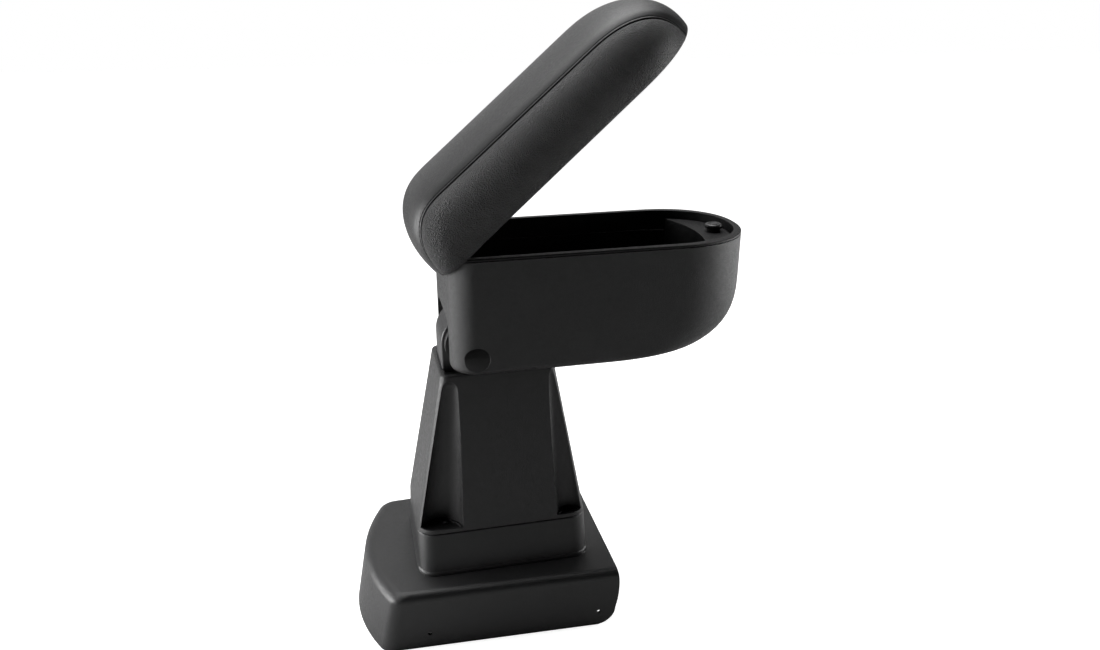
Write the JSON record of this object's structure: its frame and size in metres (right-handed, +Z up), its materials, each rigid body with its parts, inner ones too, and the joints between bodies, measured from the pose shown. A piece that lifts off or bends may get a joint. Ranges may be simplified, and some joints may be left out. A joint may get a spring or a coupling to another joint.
{
  "type": "car centre armrest",
  "caption": "Car centre armrest: a padded lid hinged on a storage bin that tilts up on a fluted column, with a flared saddle base for the console tunnel.",
  "frame": {"origin": "centre of the column, on the floor plane that the edge of the base stands on", "axes": "+X runs forward to the nose of the bin, +Y across the car to its left side, +Z up"},
  "size_m": [0.3894, 0.1906, 0.5873],
  "materials": {
    "base_plastic": "fine grain",
    "column_plastic": "fine grain",
    "head_plastic": "smooth",
    "bin_plastic": "fine grain",
    "liner_plastic": "fine grain",
    "pan_plastic": "fine grain",
    "stud_plastic": "smooth",
    "disc_plastic": "smooth",
    "black_steel": "black zinc",
    "plate_steel": "zinc",
    "leaf_steel": "black",
    "bolt_steel": "zinc",
    "lid_padding": "foam",
    "cover_smooth": "fine grain",
    "cover_grained": "pebble grain",
    "buffer_rubber": "matt"
  },
  "bodies": {
    "base": {"base_shell": "base_plastic", "column_shell": "column_plastic", "column_screws": "black_steel", "hinge_head": "head_plastic", "head_plate": "plate_steel", "head_screws": "plate_steel", "friction_discs": "disc_plastic"},
    "bin": {"bin_shell": "bin_plastic", "bin_liner": "liner_plastic", "liner_screws": "black_steel", "tilt_bolt": "bolt_steel", "tilt_nut": "bolt_steel", "tilt_washers": "bolt_steel", "tilt_bushes": "disc_plastic", "latch_block": "liner_plastic", "latch_stud": "stud_plastic", "latch_screws": "black_steel", "hinge_leaf": "leaf_steel", "leaf_screws": "black_steel", "lid_hinge_pin": "bolt_steel"},
    "lid": {"lid_pan": "pan_plastic", "lid_foam": "lid_padding", "cover_top": "cover_smooth", "cover_near": "cover_grained", "cover_far": "cover_grained", "lid_inner_panel": "pan_plastic", "lid_socket": "stud_plastic", "lid_screws": "black_steel", "lid_buffers": "buffer_rubber"}
  },
  "joints": [
    {"name": "bin_tilt", "type": "hinge", "parent": "base", "child": "bin", "pos_m": [-0.0225, 0, 0.2895], "axis": [0, -1, 0], "range_deg": [0, 90]},
    {"name": "lid_turn", "type": "hinge", "parent": "bin", "child": "lid", "pos_m": [-0.0295, 0, 0.3835], "axis": [0, -1, 0], "range_deg": [-41.8, 10]}
  ]
}
